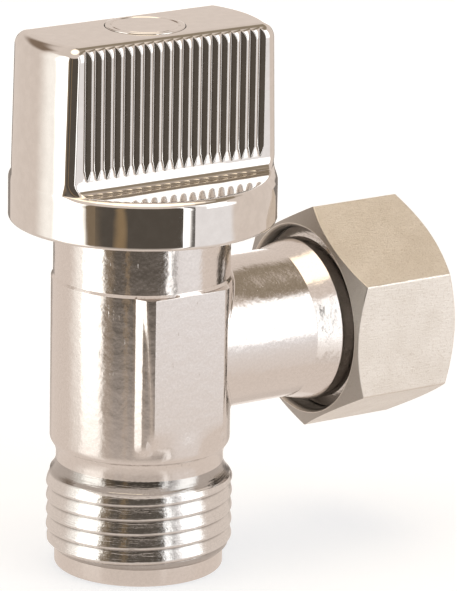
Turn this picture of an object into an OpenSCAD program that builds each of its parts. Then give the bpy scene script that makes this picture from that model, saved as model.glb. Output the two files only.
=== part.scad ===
// Quarter-turn angle stop valve with a ribbed paddle knob and a compression outlet.
// Millimetres. The origin is the centre of the inlet's end face, +Z runs up the knob's axis
// and +X runs out along the outlet.

/* [Inlet thread] */
// Outside diameter of the inlet thread, G 3/8
thread_d = 16.662; // [15:0.001:18]
// Pitch of the inlet thread, 19 per inch
thread_pitch = 1.337; // [1:0.001:1.6]
// Depth of the thread
thread_depth = 0.856; // [0.5:0.001:1]
// How far the plain lead-in below the thread stands inside the crests
spigot_step = 0.78; // [0.5:0.01:1.2]
// Height of the plain lead-in
spigot_h = 1.6; // [1:0.1:3]
// Height of the threaded length
thread_h = 7.6; // [6:0.1:8]
// Bevel on the end face's edges
end_bevel = 0.3; // [0.1:0.05:0.5]

/* [Body barrel] */
// Radius of the neck's hollow above the thread
neck_r = 2; // [1.5:0.1:2.4]
// Height of the middle of the neck's hollow above the thread
neck_lift = 1.1; // [0.8:0.1:1.4]
// Diameter of the forged barrel
barrel_d = 16.1; // [15.6:0.1:17]
// How far the turned upper barrel stands inside the forged one
upper_step = 0.175; // [0.1:0.025:0.3]
// Height of the step where the turned barrel starts
step_z = 26.7; // [25:0.1:28]
// How far the two spanner pads stand inside the barrel's widest point
pad_step = 0.1; // [-0.2:0.05:0.3]
// Width of each spanner pad
pad_w = 7.2; // [5:0.1:8]
// Height of the lower end of the pads
pad_z = 13.2; // [12.6:0.1:15]
// Radial gap between the headwork's sleeve and its chamber
chamber_gap = 0.25; // [0.1:0.05:0.4]
// Height of the seat at the chamber's floor
seat_z = 12.2; // [12:0.1:12.8]

/* [Outlet branch] */
// Height of the outlet's axis
branch_z = 20.2; // [19.5:0.1:21]
// Outside diameter of the branch
branch_d = 13.5; // [12.8:0.1:14]
// Diameter of the waterway through the branch
branch_bore_d = 8; // [6:0.1:9]
// Distance from the knob's axis to the start of the flare
flare_x = 14.4; // [13:0.1:15]
// Length of the flare
flare_len = 2.3; // [1.5:0.1:3]
// Core diameter of the outlet thread
outlet_core_d = 14.8; // [14.4:0.05:15]
// Length of the outlet thread
outlet_thread_len = 6.3; // [5:0.1:8]
// Diameter of the tube that the outlet takes
tube_d = 10; // [8:0.1:10.2]
// Radial clearance round the tube
tube_clearance = 0.1; // [0.05:0.01:0.2]
// Depth of the tube socket behind the cone seat
socket_depth = 7.4; // [6:0.1:8]
// Depth of the cone seat for the olive
cone_depth = 1.1; // [0.8:0.1:1.4]

/* [Compression nut] */
// Wall of the nut between its flats and the thread's core
nut_side = 1.6; // [1.4:0.1:2.6]
// Gap between the end of the flare and the nut
nut_gap = 0.4; // [0.3:0.05:1]
// Radial clearance between the nut and the outlet thread
nut_clearance = 0.075; // [0.05:0.005:0.1]
// Thickness of the nut's end wall
nut_wall = 2.15; // [1.5:0.05:2.6]
// Bevel at the mouth of the nut's thread
nut_mouth = 0.5; // [0.3:0.05:0.7]
// How far the end chamfers reach inside the flats
nut_face_inset = 0.3; // [0.1:0.05:0.5]
// Angle of the nut's end chamfers
nut_chamfer = 30; // [20:1:35]
// Turn of the hexagon about its axis
nut_clock = 1.6; // [0:0.1:60]

/* [Olive and slip washer] */
// Length of the olive
olive_len = 3; // [2.4:0.1:3.2]
// Thickness of the olive's middle outside the tube
olive_t = 1.35; // [1:0.05:1.5]
// Thickness of the olive's ends outside the tube
olive_end_t = 0.35; // [0.3:0.05:0.5]
// How far the olive stands off the inner end of the cone seat
olive_seat = 0.35; // [0.3:0.05:0.6]
// Length of the olive's straight middle
olive_land = 0.8; // [0.4:0.1:1]
// Radial clearance between the olive and the tube
olive_clearance = 0.08; // [0.05:0.01:0.15]
// Thickness of the slip washer
slip_t = 0.6; // [0.4:0.05:0.8]
// How far the slip washer stands inside the thread's core
slip_step = 0.5; // [0.3:0.1:0.8]
// Axial play at the slip washer
slip_play = 0.05; // [0.03:0.01:0.1]

/* [Headwork] */
// Diameter of the housing's sleeve
sleeve_d = 11.9; // [11.6:0.1:12]
// Wall of the sleeve
sleeve_wall = 1.05; // [0.9:0.05:1.2]
// Height of the sleeve's lower edge above the seat
sleeve_lift = 0.8; // [0.4:0.1:1]
// Diameter of the windows in the sleeve
window_d = 4.8; // [4:0.1:5]
// How far the housing's thread, drawn plain, stands outside the sleeve
housing_thread_step = 0.55; // [0.4:0.05:0.6]
// Radial clearance of the housing's thread
housing_clearance = 0.05; // [0.03:0.01:0.1]
// Length of the housing's thread
housing_thread_h = 5.7; // [5:0.1:5.8]
// How far the flats of the housing's hexagon stand outside the thread
hex_step = 0.5; // [0.2:0.1:1]
// Height of the housing's hexagon
housing_hex_h = 2.4; // [2:0.1:2.4]
// Height of the shoulder that the spindle bears on, above the seat
shoulder_h = 11.95; // [11.5:0.05:12.5]
// Height of the barrel's top above that shoulder
gland_h = 7.45; // [7:0.05:8]
// Section diameter of the housing O-ring
housing_ring_t = 0.95; // [0.8:0.05:1.05]
// Height of the housing O-ring above the shoulder
housing_ring_lift = 0.95; // [0.9:0.05:1]

/* [Discs and seat] */
// Height of the rubber seat
seal_h = 1.6; // [1.3:0.1:1.7]
// Width of the rubber seat's section
seal_w = 1.35; // [1.1:0.05:1.5]
// Width of the body's seat under the rubber
seat_w = 0.7; // [0.5:0.05:1]
// Wall of the support sleeve
support_t = 0.35; // [0.25:0.05:0.5]
// Radial play of the fixed disc in the sleeve
disc_play = 0.2; // [0.1:0.05:0.3]
// Thickness of the fixed disc
fixed_disc_t = 1.8; // [1.6:0.1:1.9]
// Width of the fixed disc's two ears
ear_w = 1.5; // [1:0.1:2]
// How far the ears stand inside the sleeve's outside
ear_step = 0.35; // [0.2:0.05:0.6]
// Radial gap between the moving disc and the sleeve
moving_play = 0.45; // [0.3:0.05:0.6]
// Thickness of the moving disc
moving_disc_t = 1.6; // [1.5:0.1:1.7]
// Film gap between the discs
disc_film = 0.03; // [0.02:0.01:0.05]
// Inside diameter of the disc ports
port_in_d = 2.6; // [2:0.1:3]
// Rim of the moving disc outside the ports
port_rim = 0.75; // [0.65:0.05:1]
// Angle of each disc port
port_angle = 76; // [50:1:80]
// Radial gap between the disc carrier and the sleeve
carrier_play = 0.5; // [0.35:0.05:0.6]
// Thickness of the disc carrier
carrier_t = 1.75; // [1.65:0.05:1.85]
// Width of the carrier's driving lugs
carrier_lug_w = 1.6; // [1:0.1:2]
// Running gap between stacked pieces
stack_gap = 0.05; // [0.03:0.01:0.08]

/* [Spindle] */
// Diameter of the spindle
spindle_d = 5; // [4.6:0.1:5.2]
// Radial running clearance of the spindle
spindle_clearance = 0.05; // [0.03:0.01:0.1]
// How far the collar stands outside the spindle
collar_step = 1.1; // [0.9:0.1:1.2]
// Height of the spindle's collar
collar_h = 1.2; // [1:0.1:1.3]
// Radial gap between the stop lug and the sleeve
lug_play = 0.15; // [0.1:0.05:0.3]
// Angle of the stop lug
lug_angle = 28; // [20:1:32]
// Angle that the knob turns
travel = 90; // [85:1:90]
// Play at each stop
stop_play = 1.5; // [1:0.1:2]
// Angle of each stop in the housing
stop_angle = 24; // [15:1:26]
// Gap between the stops and the collar
stop_gap = 0.15; // [0.1:0.05:0.3]
// Thickness of the thrust washer
thrust_t = 0.45; // [0.3:0.05:0.5]
// Width of the driving tongue
tongue_w = 1.8; // [1.4:0.1:2.2]
// Length of the driving tongue
tongue_len = 5.6; // [5:0.1:6]
// Height of the driving tongue
tongue_h = 1.1; // [0.8:0.1:1.2]
// Section diameter of the spindle O-rings
ring_t = 1; // [0.8:0.05:1.1]
// Height of the lower O-ring above the shoulder
ring_lift = 3.45; // [3:0.05:4]
// Distance between the O-rings
ring_pitch = 2.8; // [2.4:0.1:3.2]
// Thickness of the snap ring
clip_t = 0.6; // [0.4:0.05:0.7]
// How far the snap ring stands outside the spindle
clip_step = 0.9; // [0.6:0.1:1]
// Depth of the snap ring's groove
clip_depth = 0.5; // [0.3:0.05:0.6]
// Play between the snap ring and the headwork's top
clip_play = 0.15; // [0.1:0.01:0.2]
// How far the spline stands inside the spindle
spline_step = 0.05; // [0.05:0.05:0.2]
// Depth of the spline's teeth
spline_depth = 0.35; // [0.2:0.05:0.4]
// Number of spline teeth
spline_teeth = 20; // [16:1:24]

/* [Knob] */
// Diameter of the knob's skirt
knob_d = 23.8; // [23:0.1:25]
// How far the paddle's ends lean in at the top
end_lean = 0.35; // [0.1:0.05:0.7]
// Gap between the barrel's top and the skirt's lower edge
skirt_gap = 0.4; // [0.3:0.1:1]
// Room between the snap ring and the knob's ceiling
ceiling_room = 0.35; // [0.3:0.05:0.8]
// Height of the paddle above the ledge
paddle_h = 13; // [12.7:0.1:16]
// Thickness of the paddle
paddle_t = 10; // [9.8:0.1:11]
// Radius on the paddle's upright corners
corner_r = 1.2; // [0.6:0.1:1.4]
// Radius on the paddle's top edges
top_r = 1.25; // [0.6:0.05:1.35]
// Radius on the skirt's upper rim
rim_r = 0.7; // [0.3:0.1:1]
// Radius on the skirt's lower lip
lip_r = 0.35; // [0.2:0.05:0.5]
// Radius of the cove at the foot of the grip faces
cove_r = 1; // [0.6:0.05:1.05]
// Wall of the skirt
skirt_wall = 1.5; // [1.2:0.1:2]
// Wall of the ledge and the paddle
knob_wall = 1.2; // [1:0.1:1.3]
// Thickness of the roof over the paddle's pockets
roof_t = 1.5; // [1.2:0.1:2]
// How far the paddle's ends stand inside the skirt
paddle_inset = 0.05; // [0.05:0.05:0.3]
// Wall of the boss round the insert
boss_wall = 1.2; // [0.9:0.1:1.4]

/* [Grip grooves] */
// Number of grooves on each face
groove_count = 19; // [7:2:19]
// Plain band at each side of the grooves
groove_side = 0.95; // [0.8:0.01:1.6]
// Width of each groove
groove_w = 0.76; // [0.5:0.02:0.8]
// Depth of each groove
groove_depth = 0.42; // [0.3:0.02:0.5]
// Length of a groove's pointed foot
groove_point = 1; // [0.6:0.1:1.4]
// Plain band below the grooves
groove_foot = 1.1; // [1.05:0.05:1.4]

/* [Knob fixing] */
// Wall of the insert outside the spline
insert_wall = 0.65; // [0.5:0.05:0.7]
// Clearance between fixed pieces
seat_gap = 0.02; // [0.01:0.01:0.04]
// Clearance round the spline
spline_clearance = 0.05; // [0.03:0.01:0.08]
// Gap between the insert and the headwork's top
insert_lift = 1.3; // [1.25:0.05:1.4]
// Thickness of the web under the screw
web_t = 1.4; // [1.2:0.1:1.6]
// Diameter of the screw's thread, drawn plain
screw_d = 2.5; // [2:0.1:2.6]
// Clearance of the screw in its holes
screw_clearance = 0.05; // [0.03:0.01:0.1]
// Length of the screw under its head
screw_len = 7.5; // [5:0.1:8]
// Diameter of the screw's head
head_d = 4.8; // [4.4:0.1:5.2]
// Height of the screw's head
head_h = 1.4; // [1:0.1:1.5]
// Radial room round the screw's head
head_room = 0.5; // [0.3:0.05:0.6]
// Length of the cross recess
recess_len = 3.2; // [2.6:0.1:3.6]
// Width of the cross recess
recess_w = 0.7; // [0.5:0.05:0.8]
// Depth of the cross recess
recess_depth = 0.8; // [0.5:0.1:0.9]
// Thickness of the split washer
washer_t = 0.55; // [0.4:0.05:0.6]
// Width of the split in that washer
split_w = 0.35; // [0.2:0.05:0.6]
// How far the cap stands outside the bore under it
cap_step = 0.65; // [0.4:0.05:0.75]
// Thickness of the cap's rim
cap_t = 1.15; // [1:0.05:1.2]
// How far the cap stands proud
cap_proud = 0.1; // [0.05:0.05:0.2]
// Length of the cap's plug
cap_plug = 0.5; // [0.3:0.05:0.7]
// Gap between the cap's plug and the screw's head
head_gap = 0.65; // [0.3:0.05:1]
// Clearance round the cap
cap_clearance = 0.06; // [0.04:0.01:0.1]

/* [Hidden] */
$fn = 64;
// Overshoot of a cutter past the face it cuts
past = 1;
// How far a shape runs into the one it is joined to
sink = 0.5;
// Overshoot of a groove's cutter past the grip face
groove_over = 0.05;

// Across the headwork, from the sleeve
chamber_d = sleeve_d + 2 * chamber_gap;
sleeve_bore_d = sleeve_d - 2 * sleeve_wall;
housing_thread_d = sleeve_d + 2 * housing_thread_step;
housing_af = housing_thread_d + 2 * hex_step;
fixed_disc_d = sleeve_bore_d - 2 * disc_play;
ear_d = sleeve_d - 2 * ear_step;
seal_d = fixed_disc_d;
seal_bore_d = seal_d - 2 * seal_w;
moving_disc_d = sleeve_bore_d - 2 * moving_play;
port_out_d = moving_disc_d - 2 * port_rim;
carrier_d = sleeve_bore_d - 2 * carrier_play;
lug_d = sleeve_bore_d - 2 * lug_play;

// Across the spindle and the knob's fixing
gland_r = spindle_d / 2 + spindle_clearance;
collar_d = spindle_d + 2 * collar_step;
clip_d = spindle_d + 2 * clip_step;
spline_d = spindle_d - 2 * spline_step;
insert_d = spline_d + 2 * insert_wall;
boss_d = insert_d + 2 * boss_wall;
head_bore_r = head_d / 2 + head_room;
cap_d = 2 * (head_bore_r + cap_step);

// Inlet, neck and barrel
thread_z = spigot_h;
thread_turns = floor(thread_h / thread_pitch);
crest_w = thread_pitch / 6;
spigot_d = thread_d - 2 * spigot_step;
neck_d = thread_d - 2 * thread_depth;
neck_z = thread_z + thread_h + neck_lift;
waterway_d = seal_d - 2 * seat_w;
upper_d = barrel_d - 2 * upper_step;
pad_af = barrel_d - 2 * pad_step;

// Outlet, from the knob's axis outwards
outlet_thread_x = flare_x + flare_len;
outlet_end_x = outlet_thread_x + outlet_thread_len;
socket_r = tube_d / 2 + tube_clearance;
socket_end_x = outlet_end_x - cone_depth;
socket_x = socket_end_x - socket_depth;
olive_r = tube_d / 2 + olive_clearance;
olive_mid_r = tube_d / 2 + olive_t;
olive_end_r = tube_d / 2 + olive_end_t;
olive_x = socket_end_x + olive_seat;
slip_d = outlet_core_d - 2 * slip_step;
slip_x = olive_x + olive_len + slip_play;
nut_x = outlet_thread_x + nut_gap;
nut_floor_x = slip_x + slip_t + slip_play;
nut_end_x = nut_floor_x + nut_wall;
nut_len = nut_end_x - nut_x;
nut_af = outlet_core_d + 2 * nut_side;
nut_bore_r = outlet_core_d / 2 + nut_clearance;
nut_face_r = nut_af / 2 - nut_face_inset;
nut_corner_r = nut_af / 2 / cos(30);

// Headwork stack, from the seat upwards
disc_z = seat_z + seal_h;
moving_z = disc_z + fixed_disc_t + disc_film;
carrier_z = moving_z + moving_disc_t + stack_gap;
carrier_top = carrier_z + carrier_t;
shoulder_z = seat_z + shoulder_h;
body_top = shoulder_z + gland_h;
thrust_z = shoulder_z - stack_gap - thrust_t;
collar_z = thrust_z - stack_gap - collar_h;
tongue_z = carrier_top - tongue_h + stack_gap;
sleeve_z = seat_z + sleeve_lift;
window_z = (carrier_top + collar_z) / 2;
housing_thread_z = body_top - housing_thread_h;
housing_top = body_top + housing_hex_h;
housing_ring_z = shoulder_z + housing_ring_lift;
rings_z = [for (i = [0 : 1]) shoulder_z + ring_lift + i * ring_pitch];
clip_z = housing_top + clip_play;
spline_z = clip_z + clip_t + stack_gap;
stop_free = travel / 2 + lug_angle / 2 + stop_play;

// Knob, from the skirt upwards
skirt_z = body_top + skirt_gap;
ceiling_z = clip_z + clip_t + ceiling_room;
ledge_z = ceiling_z + knob_wall;
knob_top = ledge_z + paddle_h;
pocket_top = knob_top - roof_t;
cavity_r = knob_d / 2 - skirt_wall;
paddle_r = knob_d / 2 - paddle_inset;
knob_top_r = knob_d / 2 - end_lean;
face_y = paddle_t / 2;
corner_y = face_y - corner_r;
face_half = sqrt(pow(paddle_r - corner_r, 2) - pow(corner_y, 2));
groove_pitch = 2 * (face_half - groove_side) / (groove_count - 1);
groove_low = ledge_z + groove_foot;

// Knob's fixing, from the top downwards
cap_z = knob_top + cap_proud - cap_t;
cap_recess_z = cap_z - seat_gap;
head_z = cap_z - cap_plug - head_gap - head_h;
web_top = head_z - washer_t;
web_z = web_top - web_t;
insert_top = web_z - stack_gap;
insert_z = housing_top + insert_lift;
spindle_top = insert_top - 2 * stack_gap;
spline_len = spindle_top - spline_z;

// Shapes that repeat
module ring(outer_r, inner_r, z, h) {
    translate([0, 0, z]) difference() {
        cylinder(r = outer_r, h = h);
        translate([0, 0, -past]) cylinder(r = inner_r, h = h + 2 * past);
    }
}

module torus(middle_r, section_d, z) {
    rotate_extrude() translate([middle_r, z]) circle(d = section_d);
}

// Ring sector centred on a given direction
module sector(outer_r, inner_r, z, h, angle, direction) {
    rotate([0, 0, direction - angle / 2]) rotate_extrude(angle = angle)
        translate([inner_r, z]) square([outer_r - inner_r, h]);
}

module ports(z, h) {
    for (direction = [0, 180])
        sector(port_out_d / 2, port_in_d / 2, z - past, h + 2 * past, port_angle, direction);
}

// Turns a shape drawn along +Z so that it runs along +X at the outlet's height
module along_outlet() {
    translate([0, 0, branch_z]) rotate([0, 90, 0]) children();
}

// Toothed outline of the spline, grown by a clearance
module spline_outline(grow) {
    tip = spline_d / 2 + grow;
    root = tip - spline_depth;
    polygon([for (i = [0 : 2 * spline_teeth - 1])
        let (r = i % 2 == 0 ? tip : root, a = i * 180 / spline_teeth) [r * cos(a), r * sin(a)]]);
}

// Outline of the inlet: lead-in, thread turns, neck and barrel
module barrel_outline() {
    flank = (thread_pitch - crest_w) / 2;
    difference() {
        union() {
            polygon([[0, 0], [spigot_d / 2 - end_bevel, 0], [spigot_d / 2, end_bevel],
                     [spigot_d / 2, thread_z], [thread_d / 2, thread_z + thread_depth],
                     [thread_d / 2, neck_z], [0, neck_z]]);
            translate([0, neck_z]) square([barrel_d / 2, step_z - neck_z]);
            translate([0, step_z - past]) square([upper_d / 2, body_top - step_z + past]);
        }
        translate([neck_d / 2 + neck_r, neck_z]) circle(r = neck_r);
        for (i = [0 : thread_turns - 1])
            translate([thread_d / 2, thread_z + thread_depth + (i + 0.5) * thread_pitch])
                polygon([[-thread_depth, 0], [0, flank], [past, flank], [past, -flank], [0, -flank]]);
    }
}

module branch_outline() {
    core_r = outlet_core_d / 2;
    polygon([[0, 0], [branch_d / 2, 0], [branch_d / 2, flare_x], [core_r, outlet_thread_x],
             [core_r, outlet_end_x - end_bevel], [core_r - end_bevel, outlet_end_x], [0, outlet_end_x]]);
}

module valve_body() {
    color("lightsteelblue") difference() {
        union() {
            rotate_extrude() barrel_outline();
            translate([-pad_w / 2, -pad_af / 2, pad_z]) cube([pad_w, pad_af, step_z - pad_z]);
            along_outlet() rotate_extrude() branch_outline();
        }
        translate([0, 0, -past]) cylinder(d = waterway_d, h = seat_z + 2 * past);
        translate([0, 0, seat_z]) cylinder(d = chamber_d, h = body_top);
        translate([0, 0, housing_thread_z])
            cylinder(d = housing_thread_d + 2 * housing_clearance, h = body_top);
        along_outlet() cylinder(d = branch_bore_d, h = outlet_end_x);
        along_outlet() translate([0, 0, socket_x]) cylinder(r = socket_r, h = outlet_end_x);
        along_outlet() translate([0, 0, socket_end_x])
            cylinder(r1 = socket_r, r2 = socket_r + cone_depth + past, h = cone_depth + past);
    }
}

module housing_shell() {
    translate([0, 0, sleeve_z]) cylinder(d = sleeve_d, h = housing_thread_z - sleeve_z);
    translate([0, 0, housing_thread_z]) cylinder(d = housing_thread_d, h = housing_thread_h);
    translate([0, 0, body_top]) cylinder(d = housing_af / cos(30), h = housing_hex_h, $fn = 6);
}

module headwork_housing() {
    color("goldenrod") {
        difference() {
            housing_shell();
            translate([0, 0, sleeve_z - past])
                cylinder(d = sleeve_bore_d, h = shoulder_z - sleeve_z + past);
            cylinder(r = gland_r, h = housing_top + past);
            translate([-sleeve_d, 0, window_z]) rotate([0, 90, 0]) cylinder(d = window_d, h = 2 * sleeve_d);
            translate([-ear_w / 2 - stack_gap, -sleeve_d, sleeve_z - past])
                cube([ear_w + 2 * stack_gap, 2 * sleeve_d, disc_z + fixed_disc_t - sleeve_z + past]);
            ring(sleeve_d, chamber_d / 2 - housing_ring_t - 2 * seat_gap,
                 housing_ring_z - housing_ring_t / 2 - stack_gap, housing_ring_t + 2 * stack_gap);
        }
        for (side = [-1, 1])
            sector(sleeve_bore_d / 2 + sink, collar_d / 2 + stop_gap, collar_z, shoulder_z - collar_z,
                   stop_angle, side * (stop_free + stop_angle / 2));
    }
}

module housing_o_ring() {
    color("dimgray")
        torus(chamber_d / 2 - housing_ring_t / 2 - seat_gap, housing_ring_t - seat_gap, housing_ring_z);
}

module seat_seal() {
    color("dimgray") ring(seal_d / 2, seal_bore_d / 2, seat_z, seal_h);
}

module seal_support() {
    color("silver") ring(seal_bore_d / 2 - seat_gap, seal_bore_d / 2 - support_t, seat_z, seal_h);
}

module fixed_disc() {
    color("white") difference() {
        union() {
            translate([0, 0, disc_z]) cylinder(d = fixed_disc_d, h = fixed_disc_t);
            translate([-ear_w / 2, -ear_d / 2, disc_z]) cube([ear_w, ear_d, fixed_disc_t]);
        }
        ports(disc_z, fixed_disc_t);
    }
}

module moving_disc() {
    color("white") difference() {
        translate([0, 0, moving_z]) cylinder(d = moving_disc_d, h = moving_disc_t);
        ports(moving_z, moving_disc_t);
        carrier_lugs(2 * stack_gap, past);
    }
}

// The carrier's two lugs, which fill the moving disc's notches
module carrier_lugs(grow, over) {
    lug_h = moving_disc_t / 2;
    lug_in = port_out_d / 2 + stack_gap;
    lug_len = carrier_d / 2 - lug_in;
    for (side = [0, 180])
        rotate([0, 0, 90 + side])
            translate([lug_in - grow, -carrier_lug_w / 2 - grow, carrier_z - stack_gap - lug_h - grow])
                cube([lug_len + grow + over, carrier_lug_w + 2 * grow, lug_h + 2 * stack_gap + grow]);
}

module disc_carrier() {
    color("darkslategray") {
        difference() {
            translate([0, 0, carrier_z]) cylinder(d = carrier_d, h = carrier_t);
            ports(carrier_z, carrier_t);
            translate([-tongue_w / 2 - stack_gap, -tongue_len / 2 - stack_gap, tongue_z - stack_gap])
                cube([tongue_w + 2 * stack_gap, tongue_len + 2 * stack_gap, carrier_t + past]);
        }
        intersection() {
            carrier_lugs(0, past);
            cylinder(d = carrier_d, h = carrier_top);
        }
    }
}

module spindle() {
    color("goldenrod") {
        difference() {
            union() {
                translate([0, 0, carrier_top + stack_gap])
                    cylinder(d = spindle_d, h = spline_z - carrier_top - stack_gap);
                translate([0, 0, collar_z]) cylinder(d = collar_d, h = collar_h);
                sector(lug_d / 2, spindle_d / 2 - seat_gap, collar_z, collar_h, lug_angle, travel / 2);
                translate([0, 0, tongue_z]) linear_extrude(tongue_h + stack_gap) intersection() {
                    square([tongue_w, tongue_len], center = true);
                    circle(d = tongue_len);
                }
                translate([0, 0, spline_z]) linear_extrude(spline_len) spline_outline(0);
            }
            for (z = rings_z)
                ring(spindle_d, spindle_d / 2 - ring_t, z - ring_t / 2 - stack_gap, ring_t + 2 * stack_gap);
            ring(spindle_d, spindle_d / 2 - clip_depth, clip_z - stack_gap, clip_t + 2 * stack_gap);
            translate([0, 0, head_z - screw_len - past])
                cylinder(d = screw_d + 2 * screw_clearance, h = spindle_top);
        }
    }
}

module spindle_o_rings() {
    color("dimgray") for (z = rings_z)
        torus(spindle_d / 2 - ring_t / 2 + seat_gap, ring_t - seat_gap, z);
}

module thrust_washer() {
    color("ivory") ring(collar_d / 2, spindle_d / 2 + seat_gap, thrust_z, thrust_t);
}

module spindle_clip() {
    color("silver") difference() {
        ring(clip_d / 2, spindle_d / 2 - clip_depth + seat_gap, clip_z, clip_t);
        translate([0, -spindle_d / 2 + clip_depth, clip_z - past])
            cube([clip_d, spindle_d - 2 * clip_depth, clip_t + 2 * past]);
    }
}

// Outline of the skirt and ledge from the axis to the rim, with a rounded lip and rim
module knob_outline() {
    skirt_r = knob_d / 2;
    translate([0, skirt_z]) square([skirt_r - lip_r, ledge_z - skirt_z]);
    translate([0, skirt_z + lip_r]) square([skirt_r, ledge_z - rim_r - skirt_z - lip_r]);
    translate([skirt_r - lip_r, skirt_z + lip_r]) circle(r = lip_r);
    translate([skirt_r - rim_r, ledge_z - rim_r]) circle(r = rim_r);
    translate([0, ledge_z - rim_r - past]) square([skirt_r - rim_r, rim_r + past]);
}

// Outline of the paddle's ends: a tapered wall with a rounded top edge
module paddle_end_outline() {
    edge_r = knob_top_r - top_r;
    edge_z = knob_top - top_r;
    polygon([[0, ceiling_z], [paddle_r, ceiling_z], [paddle_r, ledge_z], [knob_top_r, edge_z],
             [edge_r, edge_z], [edge_r, knob_top], [0, knob_top]]);
    translate([edge_r, edge_z]) circle(r = top_r);
}

// Plan of the paddle: a disc cut by two flats, with rounded corners where they meet
module paddle_plan() {
    tangent_y = corner_y * paddle_r / (paddle_r - corner_r);
    intersection() {
        circle(r = paddle_r);
        square([2 * paddle_r, 2 * tangent_y], center = true);
    }
    square([2 * face_half, paddle_t], center = true);
    for (x = [-face_half, face_half], y = [-corner_y, corner_y])
        translate([x, y]) circle(r = corner_r);
}

// End view of the paddle: two flat faces with rounded top edges and a cove at each foot
module paddle_side() {
    translate([-face_y, ceiling_z]) square([paddle_t, knob_top - top_r - ceiling_z]);
    translate([top_r - face_y, ceiling_z]) square([paddle_t - 2 * top_r, knob_top - ceiling_z]);
    for (side = [-1, 1])
        translate([side * (face_y - top_r), knob_top - top_r]) circle(r = top_r);
}

module cove_side() {
    difference() {
        translate([-face_y - cove_r, ceiling_z])
            square([paddle_t + 2 * cove_r, ledge_z + cove_r - ceiling_z]);
        for (side = [-1, 1])
            translate([side * (face_y + cove_r), ledge_z + cove_r]) circle(r = cove_r);
    }
}

// Carries an outline drawn across the knob along X
module across_knob() {
    rotate([90, 0, 90]) linear_extrude(2 * knob_d, center = true) children();
}

// V groove in the face at -Y, from its pointed foot up through the rounded top edge, where it runs out
module groove(x) {
    reach = 1 + groove_over / groove_depth;
    half = reach * groove_w / 2;
    tip = reach * groove_point;
    low = groove_low + groove_point;
    translate([x, -face_y, 0])
        polyhedron(
            points = [[0, -groove_over, low - tip], [half, -groove_over, low],
                      [half, -groove_over, knob_top], [-half, -groove_over, knob_top],
                      [-half, -groove_over, low], [0, groove_depth, low], [0, groove_depth, knob_top]],
            faces = [[4, 3, 2, 1, 0], [5, 0, 1], [6, 5, 1, 2], [6, 2, 3], [5, 6, 3, 4], [5, 4, 0]]);
}

module grip_grooves() {
    for (turn = [0, 180], i = [0 : groove_count - 1])
        rotate([0, 0, turn]) groove((i - (groove_count - 1) / 2) * groove_pitch);
}

module knob_outside() {
    rotate_extrude() knob_outline();
    intersection() {
        rotate_extrude() paddle_end_outline();
        linear_extrude(knob_top + past) paddle_plan();
        across_knob() paddle_side();
    }
    intersection() {
        translate([0, 0, ceiling_z]) cylinder(r = paddle_r, h = knob_top - ceiling_z);
        across_knob() cove_side();
    }
}

// Two pockets inside the paddle, either side of the boss
module knob_pockets() {
    pocket_y = face_y - knob_wall - groove_depth / 2;
    difference() {
        intersection() {
            translate([0, 0, skirt_z]) cylinder(r = cavity_r, h = pocket_top - skirt_z);
            translate([-knob_d, -pocket_y, skirt_z]) cube([2 * knob_d, 2 * pocket_y, knob_top - skirt_z]);
        }
        cylinder(d = boss_d, h = knob_top);
    }
}

module knob() {
    color("gainsboro") difference() {
        knob_outside();
        grip_grooves();
        translate([0, 0, skirt_z - past]) cylinder(r = cavity_r, h = ceiling_z - skirt_z + past);
        knob_pockets();
        translate([0, 0, skirt_z]) cylinder(d = insert_d + 2 * seat_gap, h = web_z - skirt_z);
        cylinder(d = screw_d + 4 * screw_clearance, h = knob_top);
        translate([0, 0, web_top]) cylinder(r = head_bore_r, h = knob_top);
        translate([0, 0, cap_recess_z]) cylinder(d = cap_d + 2 * cap_clearance, h = knob_top);
    }
}

module knob_insert() {
    color("goldenrod") difference() {
        translate([0, 0, insert_z]) cylinder(d = insert_d, h = insert_top - insert_z);
        translate([0, 0, insert_z - past]) linear_extrude(insert_top + past)
            spline_outline(spline_clearance);
    }
}

module knob_screw() {
    color("silver") difference() {
        union() {
            translate([0, 0, head_z - screw_len]) cylinder(d = screw_d, h = screw_len + sink);
            translate([0, 0, head_z]) cylinder(d = head_d, h = head_h);
        }
        for (turn = [0, 90])
            rotate([0, 0, turn]) translate([-recess_len / 2, -recess_w / 2, head_z + head_h - recess_depth])
                cube([recess_len, recess_w, head_h]);
    }
}

module screw_washer() {
    color("silver") difference() {
        ring(head_d / 2, screw_d / 2 + 2 * screw_clearance, web_top, washer_t);
        translate([0, -split_w / 2, web_top - past]) cube([head_d, split_w, washer_t + 2 * past]);
    }
}

module knob_cap() {
    color("gainsboro") {
        translate([0, 0, cap_z]) cylinder(d = cap_d, h = cap_t - cap_proud);
        translate([0, 0, knob_top]) cylinder(d1 = cap_d, d2 = cap_d - 2 * cap_proud, h = cap_proud);
        translate([0, 0, cap_z - cap_plug]) cylinder(r = head_bore_r - cap_clearance, h = cap_plug);
    }
}

// Cone that takes the corners off one end of the nut, as a solid to keep
module nut_cones() {
    slope = tan(nut_chamfer);
    reach = nut_face_r + nut_len / slope;
    translate([0, 0, nut_x]) cylinder(r1 = nut_face_r, r2 = reach, h = nut_len);
}

module compression_nut() {
    color("tan") along_outlet() difference() {
        intersection() {
            translate([0, 0, nut_x]) rotate([0, 0, nut_clock])
                cylinder(r = nut_corner_r, h = nut_len, $fn = 6);
            nut_cones();
            translate([0, 0, nut_x + nut_end_x]) mirror([0, 0, 1]) nut_cones();
        }
        translate([0, 0, nut_x - past]) cylinder(r = nut_bore_r, h = nut_floor_x - nut_x + past);
        translate([0, 0, nut_x - past])
            cylinder(r1 = nut_bore_r + nut_mouth + past, r2 = nut_bore_r, h = nut_mouth + past);
        translate([0, 0, nut_x]) cylinder(r = socket_r, h = nut_len + past);
    }
}

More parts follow.
